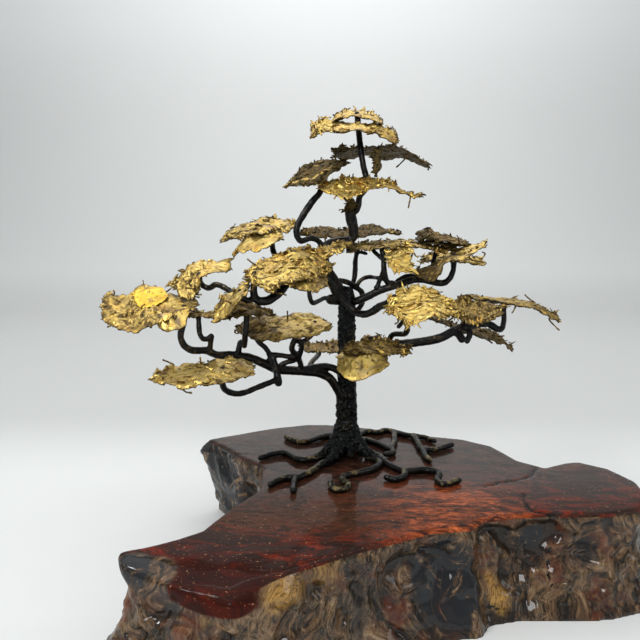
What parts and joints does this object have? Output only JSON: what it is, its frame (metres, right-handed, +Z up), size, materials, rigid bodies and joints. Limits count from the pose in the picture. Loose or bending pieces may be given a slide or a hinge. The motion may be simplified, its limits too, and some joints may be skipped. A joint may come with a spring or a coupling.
{
  "type": "bonsai tree sculpture",
  "caption": "Sculpture of a windswept bonsai: blackened bent metal rods carrying torn, crumpled brass foliage sheets, its spread roots lying on a lacquered live-edge burl wood slab.",
  "frame": {"origin": "on the wood base's flat underside, straight below the trunk's axis", "axes": "+Z up, +X to the right as the sculpture is seen from its front, -Y towards the viewer in front"},
  "size_m": [0.4279, 0.3282, 0.3691],
  "materials": {
    "wood": "red-brown burl under thick glossy lacquer",
    "blackened_metal": "bent rod with lumpy braze, black patina, waxed",
    "torn_brass": "torch-cut and crumpled, with heat stains and small burns",
    "sooty_brass": "torch-cut and crumpled, dark with soot and patina"
  },
  "bodies": {
    "root": {"wood_base": "wood", "trunk": "blackened_metal", "root_left": "blackened_metal", "root_front_left": "blackened_metal", "root_front": "blackened_metal", "root_right": "blackened_metal", "root_back_right": "blackened_metal", "root_inner_right": "blackened_metal", "root_back_left": "blackened_metal", "limb_leader": "blackened_metal", "limb_top_left": "blackened_metal", "limb_middle_left": "blackened_metal", "twig_left": "blackened_metal", "limb_front": "blackened_metal", "limb_arch": "blackened_metal", "limb_back": "blackened_metal", "limb_lower_left": "blackened_metal", "limb_lower_right": "blackened_metal", "twig_front": "blackened_metal", "limb_middle_right": "blackened_metal", "twig_right": "blackened_metal", "foliage_crown": "torn_brass", "foliage_top_back": "sooty_brass", "foliage_top_left": "sooty_brass", "foliage_top_front": "torn_brass", "foliage_upper_left": "torn_brass", "foliage_left_front": "torn_brass", "foliage_far_left": "torn_brass", "foliage_left_drop": "torn_brass", "foliage_left_bend": "torn_brass", "foliage_lower_left": "torn_brass", "foliage_low_left": "torn_brass", "foliage_trunk_front": "torn_brass", "foliage_trunk_back": "sooty_brass", "foliage_front": "torn_brass", "foliage_right_ridged": "torn_brass", "foliage_far_right": "torn_brass", "foliage_right_under": "sooty_brass", "foliage_right_dark": "sooty_brass", "foliage_right_slant": "torn_brass", "foliage_right_back": "torn_brass", "foliage_centre_right": "torn_brass", "foliage_centre_back": "sooty_brass"}
  },
  "joints": []
}
